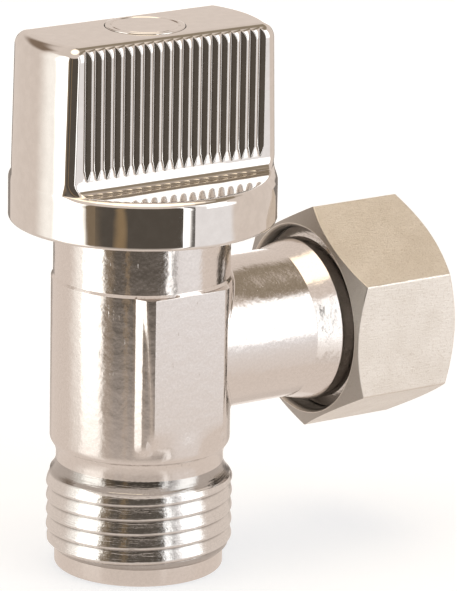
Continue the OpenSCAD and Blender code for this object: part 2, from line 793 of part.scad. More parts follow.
module olive() {
    taper = (olive_len - olive_land) / 2;
    color("goldenrod") along_outlet() rotate_extrude() translate([0, olive_x])
        polygon([[olive_r, 0], [olive_end_r, 0], [olive_mid_r, taper],
                 [olive_mid_r, taper + olive_land], [olive_end_r, olive_len], [olive_r, olive_len]]);
}

module slip_washer() {
    color("ivory") along_outlet() ring(slip_d / 2, socket_r, slip_x, slip_t);
}

valve_body();
headwork_housing();
housing_o_ring();
seat_seal();
seal_support();
fixed_disc();
moving_disc();
disc_carrier();
spindle();
spindle_o_rings();
thrust_washer();
spindle_clip();
knob();
knob_insert();
knob_screw();
screw_washer();
knob_cap();
compression_nut();
olive();
slip_washer();
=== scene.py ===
"""Looks of the quarter-turn angle stop valve.

Every visible piece is a surface worked out on a grid of two parameters. Lengths are millimetres in
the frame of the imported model: +Z up the knob's axis, +X out along the outlet. The meshes are in metres.
"""

import math

import bmesh
import bpy
import numpy as np
from mathutils import Matrix, Vector


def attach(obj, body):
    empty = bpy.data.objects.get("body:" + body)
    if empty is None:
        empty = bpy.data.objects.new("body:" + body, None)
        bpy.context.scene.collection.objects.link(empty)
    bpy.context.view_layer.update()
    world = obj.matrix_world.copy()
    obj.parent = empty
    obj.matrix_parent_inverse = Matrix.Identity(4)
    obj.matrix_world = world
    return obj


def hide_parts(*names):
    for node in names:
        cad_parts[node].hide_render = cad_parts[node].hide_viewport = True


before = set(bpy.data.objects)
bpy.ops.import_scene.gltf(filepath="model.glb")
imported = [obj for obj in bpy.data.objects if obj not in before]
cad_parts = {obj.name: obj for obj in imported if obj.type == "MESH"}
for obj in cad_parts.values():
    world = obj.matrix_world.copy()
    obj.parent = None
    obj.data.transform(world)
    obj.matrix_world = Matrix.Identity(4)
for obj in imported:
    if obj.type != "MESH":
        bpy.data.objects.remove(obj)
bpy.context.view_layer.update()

MM = 0.001
FULL_TURN = 2 * math.pi
QUARTER = math.pi / 2

# Meshes: edges that turn by more than this stay sharp, and points closer than this, in metres, become one
SHARP_EDGE = math.radians(40)
MERGE_DISTANCE = 1e-7

# Thread of the inlet and of the outlet, G 3/8
PITCH = 1.337
CREST_R = 8.331
CORE_R = 7.475
FLANK = math.tan(math.radians(27.5))
CREST_HALF = PITCH / 12
CREST_ROUND = 0.08
BASE_ROUND = 0.03
TURN_SUNK = 0.25
RIDGE_FLOOR = 0.3
RUN_OUT_SLOPE = 1.2
POINTS_PER_TURN = 96

# A turn of the inlet thread along the axis: foot of its underside, crest from and to, knee of the slope above
WORN_TURN = (-0.3, -0.06, 0.08, 0.5)
WORN_KNEE = 0.1
WORN_ROOT_R = 8.02
WORN_ROUNDS = (0.03, 0.02, 0.06, 0.12, 1.0, 0.02, 0.03)
INLET_CREST_Z = 0.292
INLET_START_BELOW = 1.05
NECK_RUN_OUT = 0.15
NECK_SUNK = 0.03

# Body, from the inlet's end face upwards
WATERWAY_R = 4.0
WATERWAY_TOP = 4.0
SPIGOT_R = 7.551
SPIGOT_H = 1.6
NECK_Z = 10.3
NECK_R = 2.0
SHOULDER_STEP = 0.2
BARREL_R = 8.05
WALL_ROWS = np.linspace(15.0, 25.7, 16)
WALL_TOP = 26.3
STEP_Z = 26.7
STEP_H = 0.3
UPPER_R = 7.875
BODY_TOP = 31.6
SEAT_Z = 12.2
CHAMBER_R = 6.2
GLAND_R = 6.55
GLAND_Z = 25.9

# Oval hole in the barrel's wall, for the branch's bore
HOLE_HALF_Y = 4.4
HOLE_HALF_Z = 4.9

# Spanner pads, with the two cast steps that lead up to each. Across, the steps are degrees from the pad's corner
PAD_Y = 7.98
PAD_HALF = 3.6
PAD_Z = 13.5
PAD_RAMP = 1.1
FIRST_STEP = (13.5, 5.5)
FIRST_STEP_H = 0.5
FIRST_STEP_FOOT = (12.1, 13.3)
SECOND_STEP_W = 3.4
SECOND_STEP_TOP = 8.0
SECOND_STEP_FOOT = 16.5
PAD_COLUMNS = [*np.linspace(-18.5, -0.9, 23), -0.3, 0, 0.3, 1]
PADDED_TOP_ROWS = 9

# Outlet branch, along X
BRANCH_Z = 20.2
BRANCH_R = 6.75
BRANCH_X = 9.6
BRANCH_BORE_R = 4.0
BRANCH_BORE_X = 9.0
ROOT_FILLET = 0.5
ROOT_FILLET_LEAST = 0.12
ROOT_SUNK = 0.05
FLARE_X = 14.4
OUTLET_THREAD_X = 16.7
OUTLET_CORE_R = 7.4
OUTLET_END_X = 23.0
OUTLET_END_BEVEL = 0.2
OUTLET_RIDGE_X = OUTLET_THREAD_X + 0.1 + PITCH
THREAD_RELIEF = 0.9
SOCKET_X = 14.5
SOCKET_R = 5.1
SOCKET_END_X = 21.9
SOCKET_BEVEL = 1.1

# Compression nut
NUT_X = 17.1
NUT_END_X = 28.1
NUT_FLOOR_X = 25.95
NUT_FLAT = 9.0
NUT_FACE_R = 8.7
NUT_CHAMFER = math.tan(math.radians(30))
NUT_CLOCK = math.radians(31.6)
NUT_CORNER = 0.22
NUT_ROOT_R = 8.4
NUT_MOUTH_BEVEL_R = 0.25
NUT_MOUTH_BEVEL_X = 0.4
NUT_CREST_HALF = 0.055
NUT_BEVEL_SUNK = 0.1
NUT_RIDGE_SUNK = 0.2
NUT_RUN_OUT_GAP = 0.35
NUT_RIDGE_GAP = 0.4
NUT_CONE_ROWS = np.array([0, 0.02, 0.06, 0.5, 0.94, 0.985])
NUT_FLAT_ROWS = np.array([0.03, 0.09])

# Knob, from the skirt upwards
SKIRT_R = 11.9
SKIRT_Z = 32.0
SKIRT_IN_R = 10.4
LIP_R = 0.35
RIM_R = 0.7
CEILING_Z = 35.1
LEDGE_Z = 36.3
KNOB_TOP = 49.3
PADDLE_R = 11.85
PADDLE_TOP_R = 11.55
FACE_Y = 5.0
CORNER_R = 1.2
CORNER_LEAST = 0.08
CORNER_SHRINK = 0.9
TOP_R = 1.25
COVE_R = 1.0
COVE_FACE_END = 9.42
SQUEEZE_FROM = 8.9
SQUEEZE = 0.496
LEDGE_SHARES = np.array([0.02, 0.25, 0.5, 0.75, 0.98, 1.0])

# Grip grooves
GROOVES = 19
GROOVE_PITCH = 1.0
GROOVE_HALF = 0.38
GROOVE_DEPTH = 0.42
GROOVE_LOW = 37.4
GROOVE_POINT = 1.0
GROOVE_SOFT = 0.02
GROOVE_LEAST = 0.06
GRIP_HALF = 9.45
GRIP_ROWS = [46.5, 45, 43, 41, 39.5]
GROOVE_TIP_ROWS = np.array([0, 0.03, 0.2, 0.45, 0.7, 0.9, 1.0])
SIDE_SHARES = np.array([0.0, 0.3, 0.7, 0.97, 1.0])
CORNER_SHARES = np.linspace(0, 1, 9)[1:-1]
END_SHARES = np.linspace(-1, 1, 25)

# Knob's fixing
CAP_R = 3.55
CAP_TOP = 49.4
CAP_Z = 48.25
CAP_PLUG_Z = 47.75
CAP_PLUG_GAP = 0.06
CAP_RING = (2.9, 3.0, 3.1)
CAP_RECESS_R = 3.61
CAP_RECESS_Z = 48.23
HEAD_BORE_R = 2.9
WEB_TOP = 45.15
WEB_Z = 43.75
SCREW_HOLE_R = 1.35
INSERT_HOLE_R = 3.12

# Camera, fitted to the photograph
PICTURE = (457, 591)
VIEW_AZIMUTH = math.radians(-33.859)
VIEW_ELEVATION = math.radians(15.923)
VIEW_ROLL = math.radians(1.03)
VIEW_TARGET = (9.32, 0.0, 23.63)
VIEW_DISTANCE = 477.3
FOCAL_PIXELS = 5322.9
PICTURE_CENTRE = (228.9, 293.3)
SENSOR = 36.0

# Panels and screens of the studio in degrees from the camera: sideways from and to, upwards from and to,
# softness of the sideways and of the upward edges, and how bright
STUDIO = [
    (-96, -46, -50, 30, 20, 6, (1.2, 1.15, 1.08)),
    (-80, -46, -50, 30, 6, 6, (2.2, 2.15, 2.05)),
    (-46, 36, -60, 32, 4, 6, (0.1, 0.085, 0.07)),
    (-50, -36, -60, 32, 8, 6, (0.24, 0.18, 0.12)),
    (-20, -16, -60, 32, 3, 6, (0.3, 0.21, 0.12)),
    (34, 42, -50, 40, 3, 6, (1.8, 1.8, 1.8)),
    (42, 46, -50, 40, 2, 6, (0.15, 0.14, 0.13)),
    (46, 84, -50, 46, 4, 6, (0.95, 0.92, 0.92)),
    (56, 84, -6, 42, 8, 10, (2.0, 2.0, 2.0)),
    (-200, 200, 65, 100, 5, 8, (2.1, 1.82, 1.42)),
    (150, 171, -60, 4, 4, 8, (0.24, 0.21, 0.19)),
    (171, 200, -60, 4, 3, 8, (1.7, 1.65, 1.6)),
    (-200, -174, -60, 4, 3, 8, (1.7, 1.65, 1.6)),
    (-174, -156, -60, 4, 4, 8, (0.3, 0.26, 0.23)),
    (64, 176, 45, 59, 12, 7, (0.32, 0.26, 0.19)),
    (-155, -104, 22, 42, 16, 12, (0.26, 0.19, 0.14)),
]
ROOM = (0.79, 0.69, 0.62)
FLOOR_HALF = 600.0
FLOOR_TONE = (0.6, 0.6, 0.6)
FLOOR_GLOW = (0.5, 0.53, 0.56)
TABLE_FADE = (-10.0, 125.0)


# Grids and meshes


def rounded(corners, radii, steps=6, brace=0.03, closed=True):
    """Path through the corners with an arc of the given radius at each. An arc touches both sides, so its
    ends stand radius / tan(half the corner's angle) away from the corner, and its points turn evenly from one
    end to the other. A point a little beyond each end keeps the sides flat under smooth shading."""
    corner = np.asarray(corners, float)
    radius = np.broadcast_to(np.asarray(radii, float), len(corner))[:, None]
    back = np.roll(corner, 1, axis=0) - corner
    ahead = np.roll(corner, -1, axis=0) - corner
    back /= np.linalg.norm(back, axis=1, keepdims=True)
    ahead /= np.linalg.norm(ahead, axis=1, keepdims=True)
    half = np.arccos(np.clip((back * ahead).sum(1, keepdims=True), -1, 1)) / 2
    reach = radius / np.tan(half)
    middle = (back + ahead) / np.linalg.norm(back + ahead, axis=1, keepdims=True)
    centre = corner + middle * radius / np.sin(half)
    first = corner + back * reach - centre
    last = corner + ahead * reach - centre
    sweep = (math.pi - 2 * half)[:, :, None]
    t = np.linspace(0, 1, steps + 1)[None, :, None]
    arc = (np.sin((1 - t) * sweep) * first[:, None] + np.sin(t * sweep) * last[:, None]) / np.sin(sweep)
    braces = [(corner + side * (reach + brace))[:, None] for side in (back, ahead)]
    path = np.concatenate([braces[0], centre[:, None] + arc, braces[1]], axis=1)
    if closed:
        return path.reshape(-1, 2)
    return np.concatenate([corner[:1], path[1:-1].reshape(-1, 2), corner[-1:]])


def about_z(radius, angle, z):
    """Points at a radius and an angle round the knob's axis, at a height."""
    return np.stack(np.broadcast_arrays(radius * np.cos(angle), radius * np.sin(angle), z), axis=-1)


def about_x(radius, angle, x):
    """Points at a radius and an angle round the outlet's axis, at a distance along it."""
    z = BRANCH_Z + radius * np.sin(angle)
    return np.stack(np.broadcast_arrays(x, radius * np.cos(angle), z), axis=-1)


def cells(rows, columns, wrap_rows=True):
    """Four point numbers for each cell of a grid. The last column is joined to the first, and so is the last
    row if asked."""
    number = np.arange(rows * columns).reshape(rows, columns)
    if wrap_rows:
        number = np.concatenate([number, number[:1]])
    number = np.concatenate([number, number[:, :1]], axis=1)
    return np.stack([number[:-1, :-1], number[:-1, 1:], number[1:, 1:], number[1:, :-1]], axis=-1)


def facing_out(points, faces):
    """The faces, turned round if the volume that they enclose comes out negative."""
    a, b, c, d = (points[faces[:, k]] for k in range(4))
    volume = (np.cross(a, b) * c).sum() + (np.cross(a, c) * d).sum()
    return faces if volume > 0 else faces[:, ::-1]


def shell(grid, wrap_rows=True):
    """Closed surface over a grid of points."""
    points = grid.reshape(-1, 3)
    faces = cells(*grid.shape[:2], wrap_rows).reshape(-1, 4)
    return points, facing_out(points, faces)


def piece(name, shells, finish, body, replaces=()):
    """One mesh object from closed surfaces: doubled points at poles merged, smooth apart from sharp edges."""
    starts = np.cumsum([0] + [len(points) for points, _ in shells])
    points = np.concatenate([points for points, _ in shells]) * MM
    faces = np.concatenate([faces + start for (_, faces), start in zip(shells, starts)])
    mesh = bpy.data.meshes.new(name)
    mesh.from_pydata(points, [], faces)
    merge_doubles(mesh)
    mesh.shade_smooth()
    mesh.set_sharp_from_angle(angle=SHARP_EDGE)
    mesh.materials.append(finish)
    obj = bpy.data.objects.new(name, mesh)
    bpy.context.scene.collection.objects.link(obj)
    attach(obj, body)
    if replaces:
        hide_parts(*replaces)


def merge_doubles(mesh):
    """Joins points that fall on each other, such as the ring of points at a pole."""
    work = bmesh.new()
    work.from_mesh(mesh)
    bmesh.ops.remove_doubles(work, verts=work.verts, dist=MERGE_DISTANCE)
    work.to_mesh(mesh)
    work.free()


def smooth(value, low, high):
    """Soft step from 0 at low to 1 at high: 3 t squared minus 2 t cubed."""
    t = np.clip((value - low) / (high - low), 0, 1)
    return t * t * (3 - 2 * t)


# Threads


def v_turn(base_r, crest_r, crest_half):
    """Corners and roundings of one turn of a ridge with 55 degree flanks, sunk a little in its wall."""
    base_half = crest_half + abs(crest_r - base_r) * FLANK
    sunk = base_r - math.copysign(TURN_SUNK, crest_r - base_r)
    corners = [[-base_half, sunk], [-base_half, base_r], [-crest_half, crest_r],
               [crest_half, crest_r], [base_half, base_r], [base_half, sunk]]
    return corners, [BASE_ROUND, BASE_ROUND, CREST_ROUND, CREST_ROUND, BASE_ROUND, BASE_ROUND]


def worn_turn():
    """Corners and roundings of one turn of the inlet thread as the photograph shows it: a low round ridge
    with a short underside and a long easy slope above, which meets the next turn."""
    sunk = CORE_R - TURN_SUNK
    low, crest_low, crest_high, knee = WORN_TURN
    high = low + PITCH
    corners = [[low, sunk], [low, WORN_ROOT_R], [crest_low, CREST_R], [crest_high, CREST_R],
               [knee, CREST_R - WORN_KNEE], [high, WORN_ROOT_R], [high, sunk]]
    return corners, WORN_ROUNDS


def ridge(place, turn, start, stop, first_angle, ceiling):
    """One helical ridge. The rounded outline of a turn is carried along the helix, whose distance along the
    axis grows by one pitch a turn. The ceiling limits the radius at each place along the axis, and both ends
    shrink to a point inside the wall."""
    corners, rounds = turn
    turns = (stop - start) / PITCH
    angle = first_angle + np.linspace(0, FULL_TURN * turns, int(POINTS_PER_TURN * turns))[:, None]
    middle = start + PITCH * (angle - first_angle) / FULL_TURN
    sunk = corners[0][1]
    outline = rounded(corners, rounds, steps=4, brace=0.01)
    along = middle + outline[:, 0]
    radius = ceiling(along, np.broadcast_to(outline[:, 1], along.shape))
    radius[[0, -1]] = sunk
    tips = np.stack([np.full(len(outline), middle[end, 0]) for end in (0, -1)])
    grid = place(radius, angle, along)
    ends = place(np.full_like(tips, sunk), angle[[0, -1]], tips)
    return shell(np.concatenate([ends[:1], grid, ends[1:]]), wrap_rows=False)


def inlet_ceiling(z, radius):
    """The inlet thread stays under its 45 degree lead-in and under the round hollow of the neck."""
    lead_in = SPIGOT_R + (z - SPIGOT_H)
    below = np.minimum(z - NECK_Z + NECK_RUN_OUT, 0)
    hollow = CORE_R - NECK_SUNK + NECK_R - np.sqrt(np.maximum(NECK_R**2 - below**2, 0))
    floor = np.minimum(radius, CORE_R - RIDGE_FLOOR)
    return np.maximum(np.minimum(radius, np.minimum(lead_in, hollow)), floor)


def outlet_ceiling(x, radius):
    """The outlet thread stays under a bevel at each end and leaves a plain relief next to the branch."""
    run_in = (x - OUTLET_THREAD_X - THREAD_RELIEF) * RUN_OUT_SLOPE
    bevel = OUTLET_CORE_R + np.minimum(OUTLET_END_X - OUTLET_END_BEVEL - x, run_in)
    floor = np.minimum(radius, OUTLET_CORE_R - RIDGE_FLOOR)
    return np.maximum(np.minimum(radius, bevel), floor)


def nut_floor(x, radius):
    """The nut's thread starts in a 45 degree bevel behind its mouth and runs out before the nut's floor."""
    run_out = (NUT_FLOOR_X - NUT_RUN_OUT_GAP - x) * RUN_OUT_SLOPE
    bevel = NUT_ROOT_R + NUT_BEVEL_SUNK - np.minimum(x - NUT_X - THREAD_RELIEF, run_out)
    return np.minimum(np.maximum(radius, bevel), np.maximum(radius, NUT_ROOT_R + NUT_RIDGE_SUNK))


def inlet_thread():
    """Inlet thread, with its crests at the heights that the photograph shows. It starts inside the spigot."""
    start = SPIGOT_H - INLET_START_BELOW
    first = (start - INLET_CREST_Z) / PITCH * FULL_TURN
    return ridge(about_z, worn_turn(), start, NECK_Z, first, inlet_ceiling)


def outlet_thread():
    """Outlet thread, from its relief to the outlet's end."""
    turn = v_turn(OUTLET_CORE_R, CREST_R, CREST_HALF)
    return ridge(about_x, turn, OUTLET_RIDGE_X, OUTLET_END_X, 0, outlet_ceiling)


def nut_thread():
    """Thread inside the nut, half a pitch away from the outlet's ridge so that the two mesh."""
    turn = v_turn(NUT_ROOT_R, CORE_R, NUT_CREST_HALF)
    return ridge(about_x, turn, OUTLET_RIDGE_X + PITCH / 2, NUT_FLOOR_X - NUT_RIDGE_GAP, 0, nut_floor)


# Body


def body_angles():
    """Angles round the body: an even fan, with more where the pads and their cast edges are."""
    even = np.linspace(-math.pi, math.pi, 241)[:-1]
    corner = math.atan2(PAD_Y, PAD_HALF)
    edges = corner + np.radians(PAD_COLUMNS)
    edges = np.concatenate([edges, math.pi - edges])
    return np.unique(np.round(np.concatenate([even, edges, -edges]), 6))


def pad_height(angle, z):
    """How far the pads stand outside the round barrel. A pad is a flat at a set distance from the axis, so
    its radius is that distance over the sine of the angle. Outside its corner two cast steps lead down to the
    barrel: one upright with a tail below the pad, one that slants away from the corner towards the top."""
    corner = math.atan2(PAD_Y, PAD_HALF)
    folded = np.minimum(np.abs(angle), math.pi - np.abs(angle))
    flat = PAD_Y / np.sin(np.maximum(folded, corner)) - BARREL_R
    share = np.clip((z - SECOND_STEP_FOOT) / (STEP_Z - SECOND_STEP_FOOT), 0, 1)
    low, high = corner - np.radians(FIRST_STEP)
    first = FIRST_STEP_H * smooth(folded, low, high)
    start = corner - np.radians(SECOND_STEP_W + (SECOND_STEP_TOP - SECOND_STEP_W) * share)
    second_h = PAD_Y / math.sin(corner) - BARREL_R - FIRST_STEP_H
    second = second_h * smooth(folded, start, start + math.radians(SECOND_STEP_W))
    foot = smooth(z, PAD_Z - PAD_RAMP, PAD_Z + PAD_RAMP)
    tail = first * (1 - smooth(folded, high, corner)) * smooth(z, *FIRST_STEP_FOOT) * (1 - foot)
    return np.where(folded >= corner, flat * foot, (first + second) * foot + tail)


def barrel():
    """Body without its branch: a closed outline turned round the knob's axis, with the pads added to the
    barrel's radius. The wall is left open where the branch's bore passes through it."""
    angle = body_angles()
    arc = np.linspace(0, math.acos(1 - (BARREL_R - SHOULDER_STEP - CORE_R) / NECK_R), 14)
    inlet = rounded([[WATERWAY_R, WATERWAY_TOP], [WATERWAY_R, 0], [SPIGOT_R, 0], [SPIGOT_R, SPIGOT_H],
                     [CORE_R, SPIGOT_H + 0.1], [CORE_R, NECK_Z - 0.5]],
                    [0, 0.2, 0.3, 0.03, 0.03, 0], closed=False)
    neck = np.stack([CORE_R + NECK_R * (1 - np.cos(arc)), NECK_Z + NECK_R * np.sin(arc)], axis=1)
    turn = np.linspace(0, 1, 8)[1:, None]
    shoulder_h = 2 * SHOULDER_STEP / math.tan(arc[-1])
    shoulder_r = SHOULDER_STEP * (1 - (1 - turn) ** 2)
    shoulder = neck[-1] + np.concatenate([shoulder_r, shoulder_h * turn], axis=1)
    pad_rows = np.linspace(FIRST_STEP_FOOT[0], PAD_Z + PAD_RAMP, 14)
    rows = np.concatenate([pad_rows, WALL_ROWS, [WALL_TOP - 0.1]])
    wall = np.stack([np.full(len(rows), BARREL_R), rows], axis=1)
    top = rounded([[BARREL_R, WALL_TOP], [BARREL_R, STEP_Z], [UPPER_R, STEP_Z + STEP_H],
                   [UPPER_R, BODY_TOP], [GLAND_R, BODY_TOP], [GLAND_R, GLAND_Z]],
                  [0, 0.12, 0.12, 0.25, 0.15, 0], closed=False)
    inside = np.stack([np.full(len(WALL_ROWS), CHAMBER_R), WALL_ROWS[::-1]], axis=1)
    seat = np.array([[CHAMBER_R, SEAT_Z], [WATERWAY_R, SEAT_Z]])
    parts = [inlet, neck, shoulder, wall, top, inside, seat]
    starts = np.cumsum([0] + [len(part) for part in parts])
    outline = np.concatenate(parts)
    radius = np.repeat(outline[:, :1], len(angle), axis=1)
    padded = slice(starts[3], starts[4] + PADDED_TOP_ROWS)
    above = smooth(outline[padded, 1:], STEP_Z + 0.1, STEP_Z)
    radius[padded] += pad_height(angle, outline[padded, 1:]) * above
    grid = about_z(radius, angle, outline[:, 1:])
    outer = starts[3] + len(pad_rows)
    return open_wall(grid, outer, starts[5], angle)


def open_wall(grid, outer, inner, angle):
    """Leaves an oval out of the barrel's outer and inner wall, on the same cells of both, and joins the two
    edges of the hole, so that the body stays closed. The oval is wider than the branch's bore and
    narrower than the branch, so its stepped edge is hidden."""
    rows, columns = grid.shape[:2]
    count = len(WALL_ROWS)
    number = np.arange(rows * columns).reshape(rows, columns)
    faces = cells(rows, columns)
    between = (angle + np.roll(angle, -1)) / 2
    between[-1] = math.pi
    height = (WALL_ROWS[:-1] + WALL_ROWS[1:]) / 2
    wide = math.asin(HOLE_HALF_Y / CHAMBER_R)
    hole = (between / wide) ** 2 + ((height[:, None] - BRANCH_Z) / HOLE_HALF_Z) ** 2 < 1
    kept = np.ones((rows, columns), bool)
    kept[outer:outer + count - 1] &= ~hole
    kept[inner:inner + count - 1] &= ~hole[::-1]
    out = number[outer:outer + count]
    into = number[inner:inner + count][::-1]

    def side(step_row, step_column):
        """Walls along the cells' edges where a kept cell has the hole on the given side."""
        beside = np.roll(hole, (-step_row, -step_column), axis=(0, 1))
        k, j = np.nonzero(~hole & beside)
        near = (k + max(step_row, 0), j + max(step_column, 0))
        far = (near[0] + abs(step_column), near[1] + abs(step_row))
        a, b = (near, far) if step_row - step_column > 0 else (far, near)
        return np.stack([out[a], out[b], into[b], into[a]], axis=1)

    walls = [side(1, 0), side(-1, 0), side(0, 1), side(0, -1)]
    points = grid.reshape(-1, 3)
    return points, facing_out(points, np.concatenate([faces[kept], *walls]))


def branch():
    """Outlet branch: an outline turned round the outlet's axis. Its root follows the barrel, whose surface
    lies at the square root of barrel radius squared minus y squared, and widens there in a round fillet."""
    angle = np.linspace(0, FULL_TURN, 145)[:-1]
    fillet = ROOT_FILLET_LEAST + (ROOT_FILLET - ROOT_FILLET_LEAST) * np.sin(angle) ** 2
    turn = np.linspace(0, QUARTER, 8)[:, None]
    root_r = BRANCH_R + fillet * (1 - np.sin(turn))
    wall_x = np.sqrt(BARREL_R**2 - (BRANCH_R * np.cos(angle)) ** 2)
    root_x = wall_x + fillet * (1 - np.cos(turn)) - ROOT_SUNK
    outline = rounded([[BRANCH_R, BRANCH_X], [BRANCH_R, FLARE_X], [OUTLET_CORE_R, OUTLET_THREAD_X],
                       [OUTLET_CORE_R, OUTLET_END_X], [SOCKET_R + SOCKET_BEVEL, OUTLET_END_X],
                       [SOCKET_R, SOCKET_END_X], [SOCKET_R, SOCKET_X], [BRANCH_BORE_R, SOCKET_X],
                       [BRANCH_BORE_R, BRANCH_BORE_X]],
                      [0, 0.3, 0.3, 0.3, 0.1, 0.1, 0.05, 0.1, 0], closed=False)
    outer_r = np.repeat(outline[:, :1], len(angle), axis=1)
    outer_x = np.repeat(outline[:, 1:], len(angle), axis=1)
    hidden_r = np.linspace(BRANCH_BORE_R, BRANCH_R, 6)[:, None] + np.zeros(len(angle))
    hidden_x = np.sqrt(np.maximum((CHAMBER_R + 0.1) ** 2 - (hidden_r * np.cos(angle)) ** 2, 1.0))
    radius = np.concatenate([root_r, outer_r, hidden_r])
    along = np.concatenate([root_x, outer_x, hidden_x])
    return shell(about_x(radius, angle, along))


# Nut


def nut():
    """Hexagon nut. Its outside follows a hexagon with rounded corners, and a 30 degree cone at each end takes
    the corners off, so the edge between cone and flat stands (radius minus face radius) times the tangent of
    30 degrees in from the end. The inside is a bore at the thread's root with a floor and a tube hole."""
    corner = NUT_CLOCK + np.arange(6) * math.pi / 3
    reach = NUT_FLAT / math.cos(math.pi / 6)
    hexagon = np.stack([reach * np.cos(corner), reach * np.sin(corner)], axis=1)
    hexagon = rounded(hexagon, NUT_CORNER, brace=0.05)
    per_side = len(hexagon) // 6
    nearly = hexagon[per_side - 1::per_side]
    after = np.roll(hexagon, -per_side, axis=0)[::per_side]
    share = np.linspace(0, 1, 14)[1:-1, None]
    flats = nearly[:, None] + share * (after - nearly)[:, None]
    ring = np.concatenate([hexagon.reshape(6, per_side, 2), flats], axis=1).reshape(-1, 2)
    angle = np.arctan2(ring[:, 1], ring[:, 0])
    radius = np.hypot(ring[:, 0], ring[:, 1])
    cut = (radius - NUT_FACE_R) * NUT_CHAMFER

    def end(face_x, inward):
        """Rows from the end face over the cone to the flat."""
        along = NUT_CONE_ROWS[:, None]
        cone_r = NUT_FACE_R + (radius - NUT_FACE_R) * along
        cone_x = face_x + inward * cut * along
        flat_r = np.repeat(radius[None], len(NUT_FLAT_ROWS), axis=0)
        flat_x = face_x + inward * (cut + NUT_FLAT_ROWS[:, None])
        return np.concatenate([cone_r, flat_r]), np.concatenate([cone_x, flat_x])

    near_r, near_x = end(NUT_X, 1)
    far_r, far_x = end(NUT_END_X, -1)
    inside = rounded([[NUT_FACE_R - 0.05, NUT_END_X], [SOCKET_R, NUT_END_X], [SOCKET_R, NUT_FLOOR_X],
                      [NUT_ROOT_R, NUT_FLOOR_X], [NUT_ROOT_R, NUT_X + NUT_MOUTH_BEVEL_X],
                      [NUT_ROOT_R + NUT_MOUTH_BEVEL_R, NUT_X]],
                     [0, 0.2, 0.08, 0.1, 0.05, 0], steps=5, closed=False)
    rows_r = np.concatenate([near_r, far_r[::-1], np.repeat(inside[:, :1], len(angle), axis=1)])
    rows_x = np.concatenate([near_x, far_x[::-1], np.repeat(inside[:, 1:], len(angle), axis=1)])
    return shell(about_x(rows_r, angle, rows_x))


# Knob


def grip_columns():
    """Columns of one grip face: ten to a groove, close together at its edges and floor so that the flanks
    stay flat, and five at each side. Gives each one's groove centre, its offset from there, and its share of
    the way from the grip to the face's end."""
    centre = (np.arange(GROOVES) - (GROOVES - 1) / 2) * GROOVE_PITCH
    edge = GROOVE_HALF + GROOVE_SOFT * np.array([1, -1, -2])
    floor = GROOVE_SOFT * np.array([2.5, 1])
    offset = np.concatenate([edge, floor])
    offset = np.concatenate([-offset, offset[::-1]])
    side = np.full(len(SIDE_SHARES), GRIP_HALF)
    centres = np.concatenate([-side, np.repeat(centre, len(offset)), side])
    offsets = np.concatenate([0 * side, np.tile(offset, GROOVES), 0 * side])
    shares = np.concatenate([-SIDE_SHARES[::-1], np.zeros(len(offset) * GROOVES), SIDE_SHARES])
    return centres, offsets, shares


def paddle_plan(end_r, half_t, corner_r, groove):
    """Plan of the paddle for a column of rows: flats at plus and minus half its thickness, ends on a circle
    round the axis, and corners of a given radius that touch both. The flats carry the grooves, cut by
    depth times (share of full depth minus distance from the groove's middle over its half width)."""
    columns = (np.asarray(value, float)[:, None] for value in (end_r, half_t, corner_r, groove))
    end_r, half_t, corner_r, groove = columns
    centres, offsets, shares = grip_columns()
    middle_y = half_t - corner_r
    middle_x = np.sqrt((end_r - corner_r) ** 2 - middle_y**2)
    lean = np.arctan2(middle_y, middle_x)
    face_x = centres + offsets * np.maximum(groove, GROOVE_LEAST) + shares * (middle_x - GRIP_HALF)
    depth = GROOVE_DEPTH * groove * np.maximum(1 - np.abs(offsets) / GROOVE_HALF, 0)
    face_y = half_t - np.where(offsets == 0, 0, depth)
    turn = QUARTER - (QUARTER - lean) * CORNER_SHARES
    corner_x = middle_x + corner_r * np.cos(turn)
    corner_y = middle_y + corner_r * np.sin(turn)
    sweep = lean * END_SHARES
    end_x, end_y = end_r * np.cos(sweep), end_r * np.sin(sweep)
    half_x = np.concatenate([face_x, corner_x, end_x, corner_x[:, ::-1]], axis=1)
    half_y = np.concatenate([-face_y, -corner_y, end_y, corner_y[:, ::-1]], axis=1)
    return np.concatenate([half_x, -half_x], axis=1), np.concatenate([half_y, -half_y], axis=1)


def paddle_kinds():
    """For each column of the paddle's plan, 0 on the grip faces, 1 on the ends, and a share at corners."""
    faces = len(grip_columns()[0])
    half = np.concatenate([np.zeros(faces), CORNER_SHARES, np.ones(len(END_SHARES)), CORNER_SHARES[::-1]])
    return np.concatenate([half, half])


def paddle_wall():
    """Rows of the paddle from the top, round its edge and down to the cove. The grooves come to a point at
    their foot and run out where the rounded edge has turned in by their depth."""
    run_out = math.asin(1 - GROOVE_DEPTH / TOP_R)
    down = np.concatenate([[0], np.linspace(0, run_out, 7), np.linspace(run_out, QUARTER, 10)[1:]])
    inset = TOP_R * (1 - np.sin(down))
    inset[0] += 0.05
    edge_z = KNOB_TOP - TOP_R
    tip_z = GROOVE_LOW + GROOVE_TIP_ROWS[::-1] * GROOVE_POINT
    foot_z = LEDGE_Z + COVE_R
    wall_z = np.concatenate([[edge_z - 0.05], GRIP_ROWS, tip_z, [GROOVE_LOW - 0.03, foot_z + 0.02, foot_z]])
    z = np.concatenate([edge_z + TOP_R * np.cos(down), wall_z])
    inset = np.concatenate([inset, np.zeros(len(wall_z))])
    groove = np.clip(np.minimum((z - GROOVE_LOW) / GROOVE_POINT, 1 - inset / GROOVE_DEPTH), 0, 1)
    end_r = PADDLE_R + (PADDLE_TOP_R - PADDLE_R) * (z - LEDGE_Z) / (edge_z - LEDGE_Z) - inset
    corner_r = np.maximum(CORNER_R - CORNER_SHRINK * inset, CORNER_LEAST)
    x, y = paddle_plan(end_r, FACE_Y - inset, corner_r, groove)
    return np.stack([x, y, np.repeat(z[:, None], x.shape[1], axis=1)], axis=-1)


